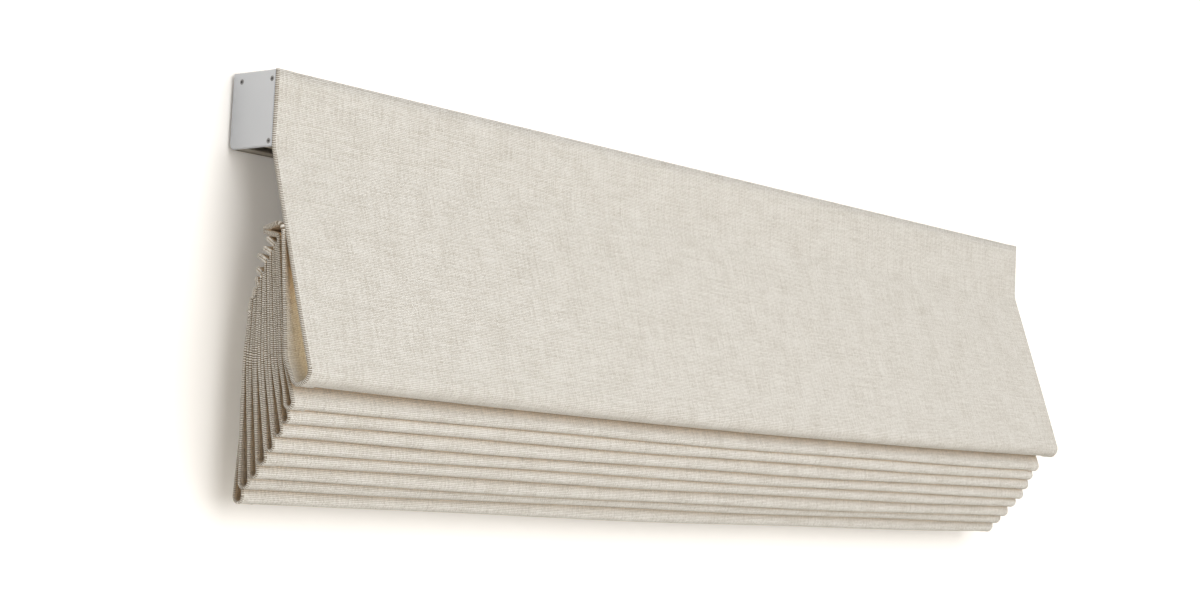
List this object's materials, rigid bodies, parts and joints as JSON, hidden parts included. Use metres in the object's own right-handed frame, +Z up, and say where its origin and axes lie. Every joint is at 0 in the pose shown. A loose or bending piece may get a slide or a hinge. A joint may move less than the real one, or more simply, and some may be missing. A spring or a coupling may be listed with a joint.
{
  "type": "roman blind",
  "caption": "Roman blind drawn fully up: stacked linen folds with flat ribs and a weight bar, hung from a slim aluminium head rail with end plates, a tube motor and wall brackets.",
  "frame": {"origin": "on the wall, at the centre of the two wall brackets' screw pattern", "axes": "+X along the blind to its right-hand end, +Y into the wall, +Z up"},
  "size_m": [1.204, 0.1114, 0.3436],
  "materials": {
    "rail_aluminium": "satin anodised extrusion",
    "plate_aluminium": "satin anodised sheet with softened edges",
    "screw_steel": "zinc plated steel",
    "strip_white": "woven fastening strip",
    "linen_cloth": "coarse off-white linen weave, hemmed at the sides",
    "clear_plastic": "translucent moulded plastic",
    "tube_steel": "galvanised tube",
    "white_plastic": "moulded",
    "motor_steel": "satin black lacquer",
    "black_plastic": "moulded",
    "button_plastic": "moulded",
    "bracket_steel": "powder coated pressed steel",
    "rib_fibreglass": "pultruded glass fibre"
  },
  "bodies": {
    "root": {"head_rail": "rail_aluminium", "end_plate_left": "plate_aluminium", "end_plate_right": "plate_aluminium", "end_plate_screws": "screw_steel", "hook_strip": "strip_white", "loop_strip": "strip_white", "blind_cloth": "linen_cloth", "bottom_bar": "rail_aluminium", "bottom_bar_cap_left": "clear_plastic", "bottom_bar_cap_right": "clear_plastic", "motor_body": "motor_steel", "motor_head": "black_plastic", "idler_pin": "screw_steel", "motor_bracket": "bracket_steel", "idler_bracket": "bracket_steel", "cord_guide_left": "white_plastic", "cord_guide_centre": "white_plastic", "cord_guide_right": "white_plastic", "wall_bracket_left": "bracket_steel", "wall_bracket_right": "bracket_steel", "lever_pin_left": "screw_steel", "lever_pin_right": "screw_steel", "fold_rib_1": "rib_fibreglass", "pocket_rings_1": "clear_plastic", "fold_rib_2": "rib_fibreglass", "pocket_rings_2": "clear_plastic", "fold_rib_3": "rib_fibreglass", "pocket_rings_3": "clear_plastic", "fold_rib_4": "rib_fibreglass", "pocket_rings_4": "clear_plastic", "fold_rib_5": "rib_fibreglass", "pocket_rings_5": "clear_plastic", "fold_rib_6": "rib_fibreglass", "pocket_rings_6": "clear_plastic", "fold_rib_7": "rib_fibreglass", "pocket_rings_7": "clear_plastic", "fold_rib_8": "rib_fibreglass", "pocket_rings_8": "clear_plastic"},
    "tube": {"lift_tube": "tube_steel", "cord_drum_left": "white_plastic", "cord_drum_centre": "white_plastic", "cord_drum_right": "white_plastic", "crown_ring": "black_plastic", "motor_shaft": "screw_steel", "drive_wheel": "black_plastic", "idler_plug": "black_plastic"},
    "button": {"motor_button": "button_plastic"},
    "lever_left": {"lock_lever_left": "black_plastic"},
    "lever_right": {"lock_lever_right": "black_plastic"}
  },
  "joints": [
    {"name": "tube_spin", "type": "hinge", "parent": "root", "child": "tube", "pos_m": [0, -0.0289, 0], "axis": [1, 0, 0], "continuous": true},
    {"name": "button_press", "type": "slide", "parent": "root", "child": "button", "axis": [0, 0, 1], "range_m": [0, 0.0008], "stiffness_N_per_m": 200},
    {"name": "lever_left_turn", "type": "hinge", "parent": "root", "child": "lever_left", "pos_m": [-0.45, -0.0063, -0.036], "axis": [0, 1, 0], "range_deg": [0, 90]},
    {"name": "lever_right_turn", "type": "hinge", "parent": "root", "child": "lever_right", "pos_m": [0.45, -0.0063, -0.036], "axis": [0, 1, 0], "range_deg": [0, 90]}
  ]
}
